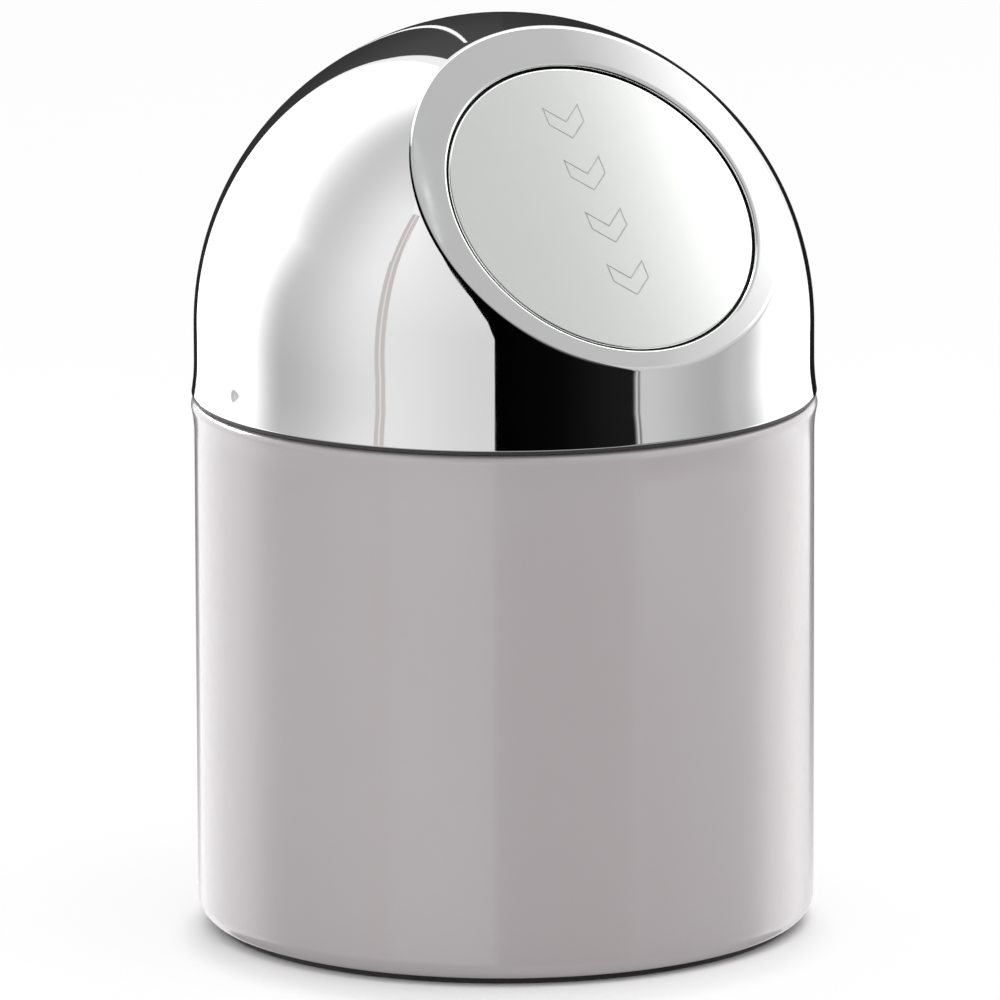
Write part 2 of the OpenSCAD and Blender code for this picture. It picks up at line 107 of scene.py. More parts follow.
def linked(name, vertices, faces, weld=False):
    """Mesh object with smooth faces, whose real corners stay sharp."""
    mesh = bpy.data.meshes.new(name)
    mesh.from_pydata([tuple(v) for v in vertices], [], faces)
    mesh.validate()
    tidy = bmesh.new()
    tidy.from_mesh(mesh)
    if weld:
        bmesh.ops.remove_doubles(tidy, verts=tidy.verts, dist=WELD_DISTANCE)
    bmesh.ops.recalc_face_normals(tidy, faces=tidy.faces)
    tidy.to_mesh(mesh)
    tidy.free()
    mesh.shade_smooth()
    mesh.set_sharp_from_angle(angle=SHARP_ANGLE)
    made = bpy.data.objects.new(name, mesh)
    bpy.context.scene.collection.objects.link(made)
    print(name, "has", len(mesh.polygons), "faces")
    return made


def joined_rows(rows, closed):
    """Vertices and faces of rows that run round a ring. A row of one point is a pole."""
    vertices, starts = [], []
    for row in rows:
        starts.append(len(vertices))
        vertices.extend(row)
    faces = []
    pairs = list(zip(range(len(rows) - 1), range(1, len(rows))))
    if closed:
        pairs.append((len(rows) - 1, 0))
    for a, b in pairs:
        count = max(len(rows[a]), len(rows[b]))
        for i in range(count):
            j = (i + 1) % count
            corners = [starts[a] + i % len(rows[a]), starts[a] + j % len(rows[a]),
                       starts[b] + j % len(rows[b]), starts[b] + i % len(rows[b])]
            faces.append(list(dict.fromkeys(corners)))
    return vertices, faces


def arc(centre, radius, start, end, steps):
    """Points (r, z) on an arc, with its angles in degrees counted from outward towards up."""
    angles = [math.radians(start + (end - start) * i / steps) for i in range(steps + 1)]
    return [(centre[0] + radius * math.cos(a), centre[1] + radius * math.sin(a)) for a in angles]


def evenly(start, end, steps):
    """Points on a straight line, both ends included."""
    return [tuple(s + (e - s) * i / steps for s, e in zip(start, end)) for i in range(steps + 1)]


# %% [markdown]
# ## The lacquered bin
# The real one is drawn from one disc of steel 0.8 mm thick. The base is pressed up in the middle, the wall
# flares slightly and its edge is rolled inward into a curl, which is the bright ring that shows under the
# dome. Its section is walked once round, out along the underside and back along the inside, and then turned
# about the axis.

# %% Sizes of the bin
bin_low, bin_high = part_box("bin_body")
RIM_FLARE = 0.6 * MM
BIN_RADIUS = bin_high.x - RIM_FLARE
RIM_Z = bin_high.z
SHEET = 0.8 * MM
BASE_BEND = 4 * MM
BASE_RISE = 3 * MM
STEP_RUN = 2.4 * MM
BASE_RING = 6 * MM
CURL_RADIUS = 1.6 * MM
CURL_END = 277
FLARE_BEND = 25 * MM
BIN_COLUMNS = 320
FOOT_TOP = bin_low.z
flare_turn = math.degrees(math.acos(1 - RIM_FLARE / (FLARE_BEND + CURL_RADIUS)))
flare_z = RIM_Z - CURL_RADIUS - (FLARE_BEND + CURL_RADIUS) * math.sin(math.radians(flare_turn))
print("bin radius", round(BIN_RADIUS, 4), "rim at", round(RIM_Z, 4), "flare turns", round(flare_turn, 1))

# %% Section and mesh of the bin
def bin_section():
    """Points (r, z) from the middle of the underside, round the curl and back to the middle inside."""
    bend_r = BIN_RADIUS - BASE_BEND
    step_r = bend_r - BASE_RING
    rise_z = FOOT_TOP + BASE_RISE
    slope = math.hypot(STEP_RUN, BASE_RISE)
    inner_shift = SHEET * (slope - STEP_RUN) / BASE_RISE
    curl_centre = (BIN_RADIUS + RIM_FLARE - CURL_RADIUS, RIM_Z - CURL_RADIUS)
    flare_centre = (BIN_RADIUS + FLARE_BEND, flare_z)
    outside = [(0, rise_z)] + evenly((step_r - STEP_RUN, rise_z), (step_r, FOOT_TOP), 3)
    outside += arc((bend_r, FOOT_TOP + BASE_BEND), BASE_BEND, -90, 0, 10)
    outside += evenly((BIN_RADIUS, FOOT_TOP + BASE_BEND), (BIN_RADIUS, flare_z), 12)[1:]
    outside += arc(flare_centre, FLARE_BEND, 180, 180 - flare_turn, 8)[1:]
    outside += arc(curl_centre, CURL_RADIUS, -flare_turn, CURL_END, 40)[1:]
    inside = arc(curl_centre, CURL_RADIUS - SHEET, CURL_END, -flare_turn, 30)
    inside += arc(flare_centre, FLARE_BEND + SHEET, 180 - flare_turn, 180, 6)[1:]
    inside += evenly((BIN_RADIUS - SHEET, flare_z), (BIN_RADIUS - SHEET, FOOT_TOP + BASE_BEND), 8)[1:]
    inside += arc((bend_r, FOOT_TOP + BASE_BEND), BASE_BEND - SHEET, 0, -90, 8)[1:]
    inside += [(step_r + inner_shift, FOOT_TOP + SHEET), (step_r - STEP_RUN + inner_shift, rise_z + SHEET)]
    return outside + inside + [(0, rise_z + SHEET)]


def turned(section, columns):
    """Rows made by turning a section about the z axis."""
    angles = [math.tau * i / columns for i in range(columns)]
    return [
        [(r * math.cos(a), r * math.sin(a), z) for a in angles] if r > 0 else [(0, 0, z)]
        for r, z in section
    ]


bin_shell = linked("bin_shell", *joined_rows(turned(bin_section(), BIN_COLUMNS), closed=False))
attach(bin_shell, "bin")
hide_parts("bin_body")

# %% [markdown]
# ## The facet frame
# The flap and the ring around it lie on a facet cut across the half sphere. Everything there is simple when
# it is described in the facet's own frame: x across, y up the slope, and z along the facet's normal.

# %% Facet frame
dome_low, dome_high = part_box("dome")
EDGE_Z = dome_low.z
SKIRT_FLARE = 0.5 * MM
DOME_RADIUS = dome_high.x - SKIRT_FLARE
CENTRE = Vector((0, 0, dome_high.z - DOME_RADIUS))
FLAP_RADIUS = 31 * MM
FLAP_GAP = 0.5 * MM
OPENING_RADIUS = FLAP_RADIUS + FLAP_GAP
FLAP_DROP = 2.4 * MM
FACET_MARGIN = 3.4 * MM
FACET_BEND = 1.6 * MM
FACET_RISE = math.radians(0.7)
facet_bend_r = OPENING_RADIUS + FLAP_DROP + FACET_MARGIN
facet_bend_z = math.sqrt((DOME_RADIUS - FACET_BEND) ** 2 - facet_bend_r ** 2)
facet_angle = math.atan2(facet_bend_r, facet_bend_z)
tilt = facet_angle + FACET_RISE
FACET_Z = facet_bend_z + FACET_BEND
ACROSS = Vector((1, 0, 0))
UPHILL = Vector((0, math.sin(tilt), math.cos(tilt)))
NORMAL = Vector((0, -math.cos(tilt), math.sin(tilt)))


def on_facet(x, y, z):
    """Point in the scene of a point given across, up the slope and along the facet's normal."""
    return CENTRE + x * ACROSS + y * UPHILL + z * NORMAL


print("facet tilt", round(math.degrees(tilt), 2), "distance", round(FACET_Z, 4))

# %% [markdown]
# ## The polished dome
# This is the piece that makes the object, and a mirror hides nothing, so it is made from one ring pattern
# from the lip inside the opening to the edge of the skirt. A sphere looks the same about every axis through
# its centre. So the rings start about the flap's axis, widen about the facet's axis, and then slide along
# great circles until they lie about the upright axis of the skirt. The same rings return inside the sheet.

# %% Rings of the dome
EDGE_BEND = 0.45 * MM
SKIRT_FLARE_BEND = 40 * MM
LIP_DEPTH = 2.2 * MM
LIP_END_Z = FACET_Z - SHEET - LIP_DEPTH
LIP_STRAIGHT = 0.9 * MM
LIP_CORNER = 0.5 * MM
LIP_EDGE = 0.2 * MM
DIMPLE_WIDTH = 4 * MM
DIMPLE_DEPTH = 0.8 * MM
DIMPLE_Z = EDGE_Z + 4.9 * MM
DIMPLE_ZONE = 0.7
DIMPLE_COLUMNS = 24
PLAIN_COLUMNS = 192
FLARE_LENGTH = 6 * MM
skirt_turn = math.degrees(math.acos(1 - SKIRT_FLARE / SKIRT_FLARE_BEND))
flare_top = EDGE_Z + (SKIRT_FLARE_BEND + SHEET) * math.sin(math.radians(skirt_turn))


def column_angles():
    """Angles round the dome from the front, closer together where a dimple lies on either side."""
    near = DIMPLE_WIDTH * DIMPLE_ZONE / DOME_RADIUS
    plain = [math.tau * i / PLAIN_COLUMNS for i in range(PLAIN_COLUMNS)]
    sides = (math.pi / 2, 3 * math.pi / 2)
    kept = [a for a in plain if all(abs(a - side) > near for side in sides)]
    fine = [side - near + 2 * near * i / DIMPLE_COLUMNS
            for side in sides for i in range(DIMPLE_COLUMNS + 1)]
    return sorted(kept + fine)


COLUMNS = column_angles()


def facet_ring(r, z, drop=0.0):
    return [on_facet(r * math.sin(a), -r * math.cos(a) - drop, z) for a in COLUMNS]


def skirt_ring(r, z):
    return [Vector((r * math.sin(a), -r * math.cos(a), z)) for a in COLUMNS]


def between(first, last, steps):
    """Rings between two rings, on straight lines, both ends left out."""
    return [[p.lerp(q, i / steps) for p, q in zip(first, last)] for i in range(1, steps)]


def sphere_rings(radius, steps):
    """Rings from the facet's bend to the skirt, each point on its own great circle."""
    start = [p - CENTRE for p in facet_ring(math.sin(facet_angle), math.cos(facet_angle))]
    end = [Vector((math.sin(a), -math.cos(a), 0)) for a in COLUMNS]
    rings = []
    for i in range(steps + 1):
        share = i / steps
        rings.append([CENTRE + radius * p.normalized().slerp(q, share) for p, q in zip(start, end)])
    return rings


def dome_side(inset, bend_steps, sphere_steps, skirt_step):
    """Rings from the facet's bend down to the skirt's edge, for one side of the sheet."""
    bend = FACET_BEND - inset
    rings = []
    for i in range(bend_steps):
        a = facet_angle * i / bend_steps
        rings.append(facet_ring(facet_bend_r + bend * math.sin(a), facet_bend_z + bend * math.cos(a)))
    rings += sphere_rings(DOME_RADIUS - inset, sphere_steps)
    z = CENTRE.z - skirt_step
    while z > flare_top + skirt_step / 2:
        rings.append(skirt_ring(DOME_RADIUS - inset, z))
        z -= skirt_step
    flare_centre = (DOME_RADIUS + SKIRT_FLARE_BEND, flare_top)
    flare_steps = round(FLARE_LENGTH / skirt_step)
    flare = arc(flare_centre, SKIRT_FLARE_BEND + inset, 180, 180 + skirt_turn, flare_steps)
    return rings + [skirt_ring(r, z) for r, z in flare]


def dome_rings():
    """Rings from the lip over the outside to the skirt's edge, and back inside the sheet to the lip."""
    lip = [facet_ring(OPENING_RADIUS, z, FLAP_DROP) for z in (LIP_END_Z, LIP_END_Z + LIP_STRAIGHT)]
    turn = arc((OPENING_RADIUS + EDGE_BEND, FACET_Z - EDGE_BEND), EDGE_BEND, 180, 90, 9)
    edge = [facet_ring(r, z, FLAP_DROP) for r, z in turn]
    outside = dome_side(inset=0, bend_steps=14, sphere_steps=84, skirt_step=0.3 * MM)
    inside = dome_side(inset=SHEET, bend_steps=6, sphere_steps=36, skirt_step=0.5 * MM)
    lip_r = OPENING_RADIUS + SHEET
    lip_back = [facet_ring(lip_r + LIP_CORNER, FACET_Z - SHEET, FLAP_DROP),
                facet_ring(lip_r, FACET_Z - SHEET - LIP_CORNER, FLAP_DROP),
                facet_ring(lip_r, LIP_END_Z + LIP_EDGE, FLAP_DROP),
                facet_ring(lip_r - LIP_EDGE, LIP_END_Z, FLAP_DROP)]
    rings = lip + edge + between(edge[-1], outside[0], 8) + outside
    rings += inside[::-1] + between(inside[0], lip_back[0], 4) + lip_back
    return rings


print("columns round the dome:", len(COLUMNS), "skirt flares below", round(flare_top, 4))

# %% [markdown]
# ## Dimples
# The collar is held in the skirt by a press mark on either side. The punch leaves a shallow round dent with
# soft shoulders, so the rings are simply pushed inward there, outside and inside alike. A mirror also shows
# the small errors of averaged normals, so each point of the polished outside is told which way it faces.

# %% Dome mesh with its dimples
DIMPLE_REACH = 1.25
DIMPLE_POINTEDNESS = 1.4


def dimpled(p):
    """The same point, pushed inward where the punch has left its mark."""
    for side in (-1, 1):
        away = math.hypot(p.y, p.z - DIMPLE_Z) / (DIMPLE_WIDTH / 2)
        if p.x * side > 0 and away < DIMPLE_REACH:
            soft = 0.5 + 0.5 * math.cos(math.pi * (away / DIMPLE_REACH))
            depth = DIMPLE_DEPTH * soft ** DIMPLE_POINTEDNESS
            return p - Vector((side * depth, 0, 0))
    return p


dome_points, dome_faces = joined_rows(dome_rings(), closed=True)
dome_shell = linked("dome_shell", [dimpled(p) for p in dome_points], dome_faces)


def true_normal(p):
    """Direction that the polished outside faces at a point, or zero to keep Blender's own normal."""
    near = MM / 500
    from_centre = p - CENTRE
    height = from_centre.dot(NORMAL)
    across = from_centre - height * NORMAL
    if abs(height - FACET_Z) < near:
        return NORMAL if across.length > OPENING_RADIUS + FLAP_DROP else Vector()
    from_bend = from_centre - facet_bend_z * NORMAL - facet_bend_r * across.normalized()
    if across.length > facet_bend_r and abs(from_bend.length - FACET_BEND) < near and height > facet_bend_z:
        return from_bend.normalized()
    if p.z >= CENTRE.z - near and abs(from_centre.length - DOME_RADIUS) < near:
        return from_centre.normalized()
    from_axis = Vector((p.x, p.y, 0))
    if p.z > flare_top and abs(from_axis.length - DOME_RADIUS) < near:
        return from_axis.normalized()
    return Vector()


true_normals = [true_normal(v.co) for v in dome_shell.data.vertices]
dome_shell.data.normals_split_custom_set_from_vertices(true_normals)
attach(dome_shell, "lid")
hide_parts("dome")
print("dome points:", len(dome_points), "with a true normal:", sum(n.length > 0 for n in true_normals))

# %% [markdown]
# ## The flap's face
# The flap is a shallow lid of satin steel with its edge turned in. Down its middle run four arrowheads that
# show which way to press, engraved as fine outlines. A texture would go soft close up, so the grooves are
# real: each outline is offset to both sides, the flat face is triangulated around those bands, and every
# band drops into a shallow vee. Plain arrowheads are used because they name nothing.

# %% Outlines of the arrowheads
MARK_WIDTH = 7.6 * MM
MARK_POINT = 3.4 * MM
MARK_THICKNESS = 3.6 * MM
MARK_PLACES = [16.6 * MM, 5.0 * MM, -6.6 * MM, -18.2 * MM]
GROOVE_WIDTH = 0.3 * MM
GROOVE_DEPTH = 0.1 * MM


def arrowhead(up_slope):
    """Closed outline of one arrowhead that points down the slope, in the facet frame's x and y."""
    half = MARK_WIDTH / 2
    top = MARK_THICKNESS / 2 + MARK_POINT / 2
    under = top - MARK_THICKNESS
    corners = [(-half, top), (-half, under), (0, under - MARK_POINT), (half, under), (half, top),
               (0, top - MARK_POINT)]
    return [Vector((x, y + up_slope)) for x, y in corners]


def offset(loop, distance):
    """The same outline moved sideways, with mitred corners."""
    moved = []
    for i, point in enumerate(loop):
        before = (point - loop[i - 1]).normalized()
        after = (loop[(i + 1) % len(loop)] - point).normalized()
        normals = [Vector((d.y, -d.x)) for d in (before, after)]
        mitre = (normals[0] + normals[1]).normalized()
        moved.append(point + mitre * distance / mitre.dot(normals[0]))
    return moved


marks = [arrowhead(place) for place in MARK_PLACES]
print("arrowheads", len(marks), "groove width", GROOVE_WIDTH)

# %% Flat face around the grooves
FLAP_EDGE_BEND = 0.45 * MM
FLAP_SUNK = 0.3 * MM
FLAP_FACE_Z = FACET_Z - FLAP_SUNK
FLAP_END_Z = LIP_END_Z - 0.4 * MM
FLAT_MARGIN = 0.3 * MM
FLAT_RADIUS = FLAP_RADIUS - FLAP_EDGE_BEND - FLAT_MARGIN
RING_POINTS = 240
SAME_POINT = 1e-9


def inside_loop(point, loop):
    """Whether a point lies inside a closed outline, by counting the edges that it passes."""
    inside = False
    for a, b in zip(loop, loop[1:] + loop[:1]):
        if (a.y > point.y) != (b.y > point.y):
            if point.x < a.x + (b.x - a.x) * (point.y - a.y) / (b.y - a.y):
                inside = not inside
    return inside


def grooved_flat():
    """Vertices and faces of the flat face, with a vee along every outline."""
    ring = [Vector((FLAT_RADIUS * math.sin(a), -FLAT_RADIUS * math.cos(a) - FLAP_DROP))
            for a in (math.tau * i / RING_POINTS for i in range(RING_POINTS))]
    bands = [(offset(loop, GROOVE_WIDTH / 2), loop, offset(loop, -GROOVE_WIDTH / 2)) for loop in marks]
    loops = [ring] + [edge for band in bands for edge in (band[0], band[2])]
    points, edges = [], []
    for loop in loops:
        first = len(points)
        points += loop
        edges += [(first + i, first + (i + 1) % len(loop)) for i in range(len(loop))]
    flat, _, triangles, _, _, _ = delaunay_2d_cdt(points, edges, [], 0, SAME_POINT)
    vertices = [on_facet(p.x, p.y, FLAP_FACE_Z) for p in flat]
    faces = []
    for triangle in triangles:
        middle = sum((flat[i] for i in triangle), Vector((0, 0))) / 3
        in_band = any(inside_loop(middle, a) != inside_loop(middle, b) for a, _, b in bands)
        if not in_band:
            faces.append(list(triangle))
    for one_side, bottom, other_side in bands:
        first = len(vertices)
        for loop, depth in ((one_side, 0), (bottom, GROOVE_DEPTH), (other_side, 0)):
            vertices += [on_facet(p.x, p.y, FLAP_FACE_Z - depth) for p in loop]
        count = len(bottom)
        for i in range(count):
            j = (i + 1) % count
            for near in (first, first + count):
                far = near + count
                faces.append([near + i, near + j, far + j, far + i])
    return vertices, faces


# %% Flap face mesh
def flap_rings():
    """Rings from the flat face over the turned edge and back to the middle of the underside."""
    bend_z = FLAP_FACE_Z - FLAP_EDGE_BEND
    bend_r = FLAP_RADIUS - FLAP_EDGE_BEND
    inner_r = FLAP_RADIUS - SHEET
    inner_z = FLAP_FACE_Z - SHEET
    section = [(FLAT_RADIUS, FLAP_FACE_Z), (bend_r - 0.1 * MM, FLAP_FACE_Z)]
    section += arc((bend_r, bend_z), FLAP_EDGE_BEND, 90, 0, 12)
    section += [(FLAP_RADIUS, bend_z - 0.6 * MM), (FLAP_RADIUS, FLAP_END_Z)]
    section += [(inner_r, FLAP_END_Z), (inner_r, inner_z)]
    angles = [math.tau * i / RING_POINTS for i in range(RING_POINTS)]
    rings = [[on_facet(r * math.sin(a), -r * math.cos(a) - FLAP_DROP, z) for a in angles]
             for r, z in section]
    return rings + [[on_facet(0, -FLAP_DROP, inner_z)]]


edge_points, edge_faces = joined_rows(flap_rings(), closed=False)
flat_points, flat_faces = grooved_flat()
shift = len(edge_points)
flap_skin = linked("flap_skin", edge_points + flat_points,
                   edge_faces + [[shift + i for i in face] for face in flat_faces], weld=True)
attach(flap_skin, "flap")
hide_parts("flap_face")

# %% [markdown]
# ## The return spring
# The real spring is drawn wire wound round the hinge pin, with one leg in the frame and one on the flap.
# It is swept here as a round wire along the same helix as the frame's faceted one. When the flap swings,
# one end stays and the other turns.

# %% Spring mesh
hinge = [joint for joint in frame["joints"] if joint["name"] == "flap_hinge"][0]
hinge_at = Vector(hinge["pos_m"])
WIRE = 0.8 * MM
COIL_GAP = 0.5 * MM
COIL_RADIUS = 1.75 * MM
COIL_START = math.radians(20)
LEG_RISE = math.radians(8)
TURNS = 7
ANCHOR_LEG = 3.194 * MM
PRESS_LEG = 14 * MM
coil_sweep = math.tau * TURNS + COIL_START + math.pi / 2 + LEG_RISE
coil_length = (WIRE + COIL_GAP) * coil_sweep / math.tau
RINGS_PER_TURN = 28
WIRE_SIDES = 14
TIP_LENGTH = 0.2
TIP_WIDTH = 0.8


def spring_line():
    """Middle line of the wire, in the facet frame's directions, measured from the hinge."""
    steps = round(coil_sweep / math.tau * RINGS_PER_TURN)
    coil = []
    for i in range(steps + 1):
        a = COIL_START - coil_sweep * i / steps
        along = -coil_length / 2 + coil_length * i / steps
        coil.append(Vector((along, COIL_RADIUS * math.cos(a), COIL_RADIUS * math.sin(a))))
    out = Vector((0, -math.sin(COIL_START), math.cos(COIL_START)))
    away = Vector((0, -math.cos(LEG_RISE), math.sin(LEG_RISE)))
    anchored = [coil[0] + out * ANCHOR_LEG * (1 - i / 4) for i in range(4)]
    pressed = [coil[-1] + away * PRESS_LEG * i / 10 for i in range(1, 11)]
    return anchored + coil + pressed


def swept_wire(line, radius):
    """Rows of points round a line that never runs along x, with a small rounded end at either end."""
    rows = []
    last = len(line) - 1
    for i, middle in enumerate(line):
        along = (line[min(i + 1, last)] - line[max(i - 1, 0)]).normalized()
        side = (Vector((1, 0, 0)) - along.x * along).normalized()
        up = along.cross(side)
        angles = [math.tau * k / WIRE_SIDES for k in range(WIRE_SIDES)]
        ring = [middle + radius * (math.cos(a) * side + math.sin(a) * up) for a in angles]
        if i == 0:
            rows.append([middle])
            rows.append([middle.lerp(p, TIP_WIDTH) for p in ring])
            ring = [p + TIP_LENGTH * radius * along for p in ring]
        rows.append(ring)
        if i == last:
            rows[-1] = [p - TIP_LENGTH * radius * along for p in ring]
            rows.append([middle.lerp(p, TIP_WIDTH) for p in ring])
            rows.append([middle])
    return rows


def from_hinge(v):
    """Point in the scene of a point measured from the hinge, in the facet frame's directions."""
    return hinge_at + v.x * ACROSS + v.y * UPHILL + v.z * NORMAL


wire_rows = [[from_hinge(p) for p in row] for row in swept_wire(spring_line(), WIRE / 2)]
spring_wire = linked("spring_wire", *joined_rows(wire_rows, closed=False))
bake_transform(spring_wire)
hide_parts("return_spring")
print("spring length", round(coil_length, 5), "hinge at", [round(c, 4) for c in hinge_at])

# %% [markdown]
# ## Finishes
# Every finish is built from noise in the object's own space, so it stays on the surface when a piece
# moves. One helper sets up a shader whose colour and roughness wander a little between two values, with
# fine bumps. Values that don't vary, such as the coat of the lacquer, sit on the shader's own sockets.

# %% Finish helper
NOISE_LOW, NOISE_HIGH = 0.3, 0.7
BROAD_DETAIL = 3.0
FINE_DETAIL = 2.0


def finish(name, colours, roughness, grain, bump, metallic=0.0):
    """Material whose colour and roughness vary with noise. Grain is in noise cells per metre."""
    material = bpy.data.materials.new(name)
    material.use_nodes = True
    nodes, links = material.node_tree.nodes, material.node_tree.links
    shader = nodes["Principled BSDF"]
    shader.inputs["Metallic"].default_value = metallic
    place = nodes.new("ShaderNodeTexCoord")
    broad, fine = nodes.new("ShaderNodeTexNoise"), nodes.new("ShaderNodeTexNoise")
    for noise, scale, detail in ((broad, grain[0], BROAD_DETAIL), (fine, grain[1], FINE_DETAIL)):
        noise.inputs["Scale"].default_value = scale
        noise.inputs["Detail"].default_value = detail
        links.new(place.outputs["Object"], noise.inputs["Vector"])
    tint = nodes.new("ShaderNodeValToRGB")
    for stop, position, colour in zip(tint.color_ramp.elements, (NOISE_LOW, NOISE_HIGH), colours):
        stop.position = position
        stop.color = (*colour, 1)
    links.new(broad.outputs["Fac"], tint.inputs["Fac"])
    links.new(tint.outputs["Color"], shader.inputs["Base Color"])
    gloss = nodes.new("ShaderNodeMapRange")
    gloss.inputs["From Min"].default_value = NOISE_LOW
    gloss.inputs["From Max"].default_value = NOISE_HIGH
    gloss.inputs["To Min"].default_value = roughness[0]
    gloss.inputs["To Max"].default_value = roughness[1]
    links.new(fine.outputs["Fac"], gloss.inputs["Value"])
    links.new(gloss.outputs["Result"], shader.inputs["Roughness"])
    relief = nodes.new("ShaderNodeBump")
    relief.inputs["Distance"].default_value = bump
    links.new(fine.outputs["Fac"], relief.inputs["Height"])
    links.new(relief.outputs["Normal"], shader.inputs["Normal"])
    print("finish", name, "roughness", roughness)
    return material


# %% Steel finishes
polished = finish("polished_steel", [(0.84, 0.84, 0.85), (0.88, 0.88, 0.88)], (0.02, 0.045), (18, 160),
                  0.002 * MM, metallic=1.0)
satin = finish("satin_steel", [(0.94, 0.96, 0.94), (0.96, 0.98, 0.96)], (0.10, 0.14), (25, 6000),
               0.0006 * MM, metallic=1.0)
# Sides of the flap's grooves: duller and rougher, with a darker colour that is painted shade in the grooves.
groove_painted_shade = finish("groove_steel_painted_shade", [(0.50, 0.51, 0.50), (0.62, 0.63, 0.62)], (0.6, 0.75), (900, 6000),
                  0.002 * MM, metallic=0.6)
plated = finish("plated_steel", [(0.52, 0.53, 0.54), (0.66, 0.66, 0.64)], (0.28, 0.42), (400, 2400),
                0.01 * MM, metallic=1.0)
spring_steel = finish("spring_steel", [(0.34, 0.33, 0.33), (0.46, 0.45, 0.45)], (0.22, 0.36), (600, 3000),
                      0.008 * MM, metallic=1.0)

# %% [markdown]
# The lacquer is a pale taupe with a clear, glossy top. The coat sockets give that clear layer. The faint
# waviness of sprayed lacquer is in the normal of the colour below it, and the coat itself stays smooth.

# %% Lacquer, plastics and rubber
lacquer = finish("lacquered_steel", [(0.437, 0.400, 0.410), (0.447, 0.412, 0.422)], (0.34, 0.42), (20, 420),
                 0.0008 * MM)
lacquer_shader = lacquer.node_tree.nodes["Principled BSDF"]
lacquer_shader.inputs["Coat Weight"].default_value = 1.0
lacquer_shader.inputs["Coat Roughness"].default_value = 0.13
lacquer_shader.inputs["Coat IOR"].default_value = 1.6
dark_plastic = finish("dark_plastic", [(0.030, 0.030, 0.032), (0.045, 0.045, 0.048)], (0.42, 0.58),
                      (60, 1800), 0.03 * MM)
pale_plastic = finish("pale_plastic", [(0.52, 0.52, 0.53), (0.58, 0.58, 0.59)], (0.40, 0.55),
                      (60, 1800), 0.03 * MM)
rubber = finish("foot_rubber", [(0.016, 0.016, 0.017), (0.026, 0.026, 0.027)], (0.65, 0.85),
                (90, 1400), 0.05 * MM)
FINISHES = {
    "lacquered_steel": lacquer, "polished_steel": polished, "satin_steel": satin, "plated_steel": plated,
    "spring_steel": spring_steel, "dark_plastic": dark_plastic, "pale_plastic": pale_plastic,
    "foot_rubber": rubber,
}

# %% [markdown]
# ## Dressing the pieces
# The four rebuilt pieces and every node of the frame get the finish of their slot. The sides of the flap's
# grooves get a duller, rougher one, whose darker colour is painted shade in the grooves. They are found by
# where they are and how they lean: just under the face, and not level with it.

# %% Give every piece its finish
LEVEL_FACE = 0.99
for piece, slot_name in ((bin_shell, "lacquered_steel"), (dome_shell, "polished_steel"),
                         (flap_skin, "satin_steel"), (spring_wire, "spring_steel")):
    piece.data.materials.clear()
    piece.data.materials.append(FINISHES[slot_name])
# Second slot: the groove sides, whose darker colour is painted shade in the grooves.
flap_skin.data.materials.append(groove_painted_shade)
for face in flap_skin.data.polygons:
    below = (face.center - CENTRE).dot(NORMAL) - FLAP_FACE_Z
    if -GROOVE_DEPTH < below < -GROOVE_DEPTH / 10 and abs(face.normal.dot(NORMAL)) < LEVEL_FACE:
        across_flap = face.center - on_facet(0, -FLAP_DROP, FLAP_FACE_Z)
        face.material_index = 1 if across_flap.length < FLAT_RADIUS else 0
for part in frame["record"]["subparts"]:
    node = frame["nodes"][part["node"]]
    node.data.materials.clear()
    node.data.materials.append(FINISHES[part["material_slot"]])

# %% [markdown]
# ## Floor, world and lamps
# The studio is plain: a pale floor, an even pale surround and one soft lamp overhead. The photograph's
# background is white, and a lit floor alone would turn grey towards the bin. So for the camera the floor
# is mixed with a white of its own. Close round the base this white fades out, and there the floor shows
# the soft shadow that the lamp gives it. Reflections don't see the floor.

# %% Floor
FLOOR_SIZE = 6.0
floor_mesh = bpy.data.meshes.new("floor")
corners = [(-FLOOR_SIZE, -FLOOR_SIZE, 0), (FLOOR_SIZE, -FLOOR_SIZE, 0), (FLOOR_SIZE, FLOOR_SIZE, 0),
           (-FLOOR_SIZE, FLOOR_SIZE, 0)]
floor_mesh.from_pydata(corners, [], [(0, 1, 2, 3)])
floor = bpy.data.objects.new("floor", floor_mesh)
bpy.context.scene.collection.objects.link(floor)
paint = finish("floor_paint", [(0.94, 0.94, 0.94), (0.95, 0.95, 0.95)], (0.8, 0.9), (3, 40), 0.0)
floor_mesh.materials.append(paint)
floor.visible_glossy = False
print("floor", 2 * FLOOR_SIZE, "across")

# %% White of the floor, away from the shadow
FLOOR_WHITENESS = 0.8
SHADOW_FROM, SHADOW_TO = 0.056, 0.065
SHADOW_SHIFT = 0.015
paint_nodes, paint_links = paint.node_tree.nodes, paint.node_tree.links
own_white = paint_nodes.new("ShaderNodeEmission")
own_white.inputs["Strength"].default_value = 1.0
floor_place = paint_nodes.new("ShaderNodeTexCoord")
from_bin = paint_nodes.new("ShaderNodeVectorMath")
from_bin.operation = "DISTANCE"
shadow_middle = (SHADOW_SHIFT * towards_camera.x, SHADOW_SHIFT * towards_camera.y, 0)
from_bin.inputs[1].default_value = shadow_middle
paint_links.new(floor_place.outputs["Object"], from_bin.inputs[0])
clearing = paint_nodes.new("ShaderNodeMapRange")
clearing.interpolation_type = "SMOOTHSTEP"
clearing.inputs["From Min"].default_value = SHADOW_FROM
clearing.inputs["From Max"].default_value = SHADOW_TO
clearing.inputs["To Min"].default_value = 0.0
clearing.inputs["To Max"].default_value = FLOOR_WHITENESS
paint_links.new(from_bin.outputs["Value"], clearing.inputs["Value"])
paint_path = paint_nodes.new("ShaderNodeLightPath")
share = paint_nodes.new("ShaderNodeMath")
share.operation = "MULTIPLY"
paint_links.new(paint_path.outputs["Is Camera Ray"], share.inputs[0])
paint_links.new(clearing.outputs["Result"], share.inputs[1])
paint_mix = paint_nodes.new("ShaderNodeMixShader")
